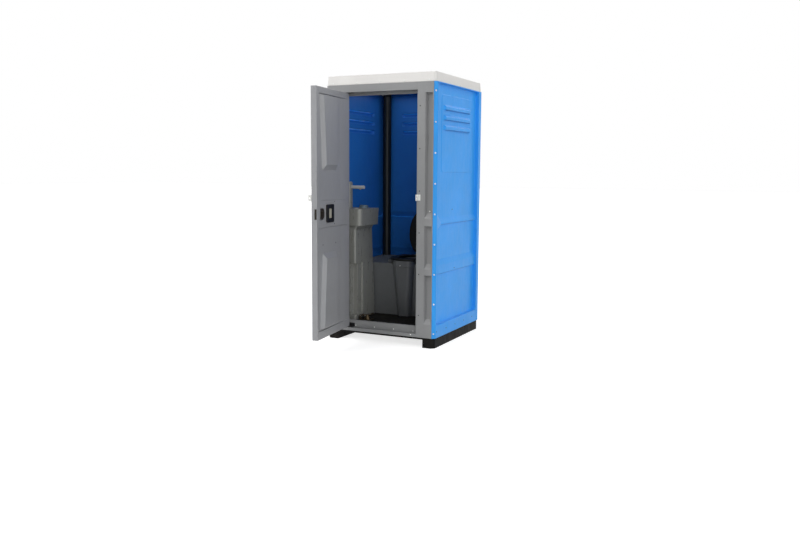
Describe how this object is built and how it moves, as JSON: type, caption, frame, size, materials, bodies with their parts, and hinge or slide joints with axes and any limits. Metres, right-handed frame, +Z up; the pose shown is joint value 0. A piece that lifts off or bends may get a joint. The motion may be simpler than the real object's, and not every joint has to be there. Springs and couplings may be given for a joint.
{
  "type": "portable toilet cabin",
  "caption": "Square portable toilet cabin on a skid base with a hinged door, waste tank with seat and lid, wash stand with foot pump, vent pipe and pale roof.",
  "frame": {"origin": "on the ground below the middle of the cabin, at the middle of the four anchor holes", "axes": "+X to the right seen from in front of the door, +Y towards the rear, +Z up"},
  "size_m": [1.044, 1.692, 2.3667],
  "materials": {
    "blue_wall": "satin moulded",
    "grey_frame": "satin moulded",
    "grey_leaf": "satin moulded",
    "white_roof": "satin moulded",
    "black_base": "satin moulded",
    "black_fitting": "fine grain",
    "latch_plastic": "fine grain",
    "white_plastic": "glossy",
    "white_rivet": "glossy",
    "dark_screw": "dull",
    "steel": "bright",
    "black_pipe": "smooth",
    "dark_grey_tank": "satin moulded",
    "black_seat": "smooth",
    "grey_stand": "satin moulded",
    "dark_spout": "smooth",
    "drain_steel": "dull",
    "brass": "dull",
    "slate_cap": "smooth",
    "pump_metal": "cast"
  },
  "bodies": {
    "cabin": {"base_runner_right": "black_base", "base_runner_left": "black_base", "base_pallet": "black_base", "side_panel_right": "blue_wall", "rear_panel": "blue_wall", "side_panel_left": "blue_wall", "front_post_right": "grey_frame", "front_post_left": "grey_frame", "latch_jamb": "grey_frame", "hinge_jamb": "grey_frame", "door_header": "grey_frame", "door_sill": "grey_frame", "lower_pivot_bracket": "black_fitting", "lower_pivot_pin": "steel", "upper_pivot_bracket": "black_fitting", "upper_pivot_pin": "steel", "strike_plate": "steel", "jamb_hasp": "white_plastic", "jamb_hasp_rivets": "white_rivet", "roof": "white_roof", "vent_pipe": "black_pipe", "vent_cap": "black_pipe", "waste_tank": "dark_grey_tank", "tank_deck": "dark_grey_tank", "tank_screw": "dark_screw", "seat_brackets": "black_seat", "seat_hinge_pins": "steel", "wash_stand": "grey_stand", "basin_drain": "drain_steel", "tap_tower": "grey_stand", "tap_spout": "dark_spout", "tap_nozzle": "brass", "pump_body": "pump_metal", "pedal_pin": "steel", "pump_outlet": "black_fitting", "corner_rivets": "white_rivet", "roof_rivets": "white_rivet", "front_rivets": "white_rivet", "frame_screws": "dark_screw", "panel_screws": "dark_screw"},
    "door": {"door_leaf": "grey_leaf", "inner_handle": "black_fitting", "outer_latch_plate": "black_fitting", "outer_pull": "black_fitting", "leaf_screws": "dark_screw", "door_hasp": "white_plastic", "door_hasp_rivets": "white_rivet"},
    "latch": {"latch_slider": "latch_plastic"},
    "indicator": {"vacancy_disc": "white_plastic"},
    "seat": {"toilet_seat": "black_seat", "seat_arms": "black_seat"},
    "lid": {"seat_lid": "black_seat", "lid_arms": "black_seat"},
    "filler_cap": {"filler_cap": "slate_cap"},
    "pedal": {"foot_pedal": "pump_metal"},
    "plunger": {"pump_plunger": "pump_metal"}
  },
  "joints": [
    {"name": "door_hinge", "type": "hinge", "parent": "cabin", "child": "door", "pos_m": [-0.33, -0.496, 1.12], "axis": [0, 0, 1], "range_deg": [-10, 82]},
    {"name": "bolt_slide", "type": "slide", "parent": "door", "child": "latch", "axis": [0.1392, -0.9903, 0], "range_m": [0, 0.022]},
    {"name": "disc_turn", "type": "hinge", "parent": "door", "child": "indicator", "pos_m": [-0.27062, -1.06225, 1.128], "axis": [0.9903, 0.1392, 0], "range_deg": [0, 90]},
    {"name": "seat_hinge", "type": "hinge", "parent": "cabin", "child": "seat", "pos_m": [0, 0.345, 0.6788], "axis": [-1, 0, 0], "range_deg": [0, 92]},
    {"name": "lid_hinge", "type": "hinge", "parent": "cabin", "child": "lid", "pos_m": [0, 0.345, 0.6788], "axis": [-1, 0, 0], "range_deg": [-100, 0]},
    {"name": "cap_turn", "type": "hinge", "parent": "cabin", "child": "filler_cap", "pos_m": [-0.35, -0.15, 1.151], "axis": [0, 0, 1], "range_deg": [0, 270]},
    {"name": "pedal_hinge", "type": "hinge", "parent": "cabin", "child": "pedal", "pos_m": [-0.262, -0.345, 0.196], "axis": [0, 1, 0], "range_deg": [0, 14], "stiffness_Nm_per_rad": 2, "springref_deg": -11.46},
    {"name": "plunger_slide", "type": "slide", "parent": "cabin", "child": "plunger", "axis": [0, 0, -1], "range_m": [0, 0.0125]}
  ],
  "couplings": [
    {"joint": "disc_turn", "follows": "bolt_slide", "rad_per_m": 71},
    {"joint": "plunger_slide", "follows": "pedal_hinge", "m_per_rad": 0.0505}
  ]
}
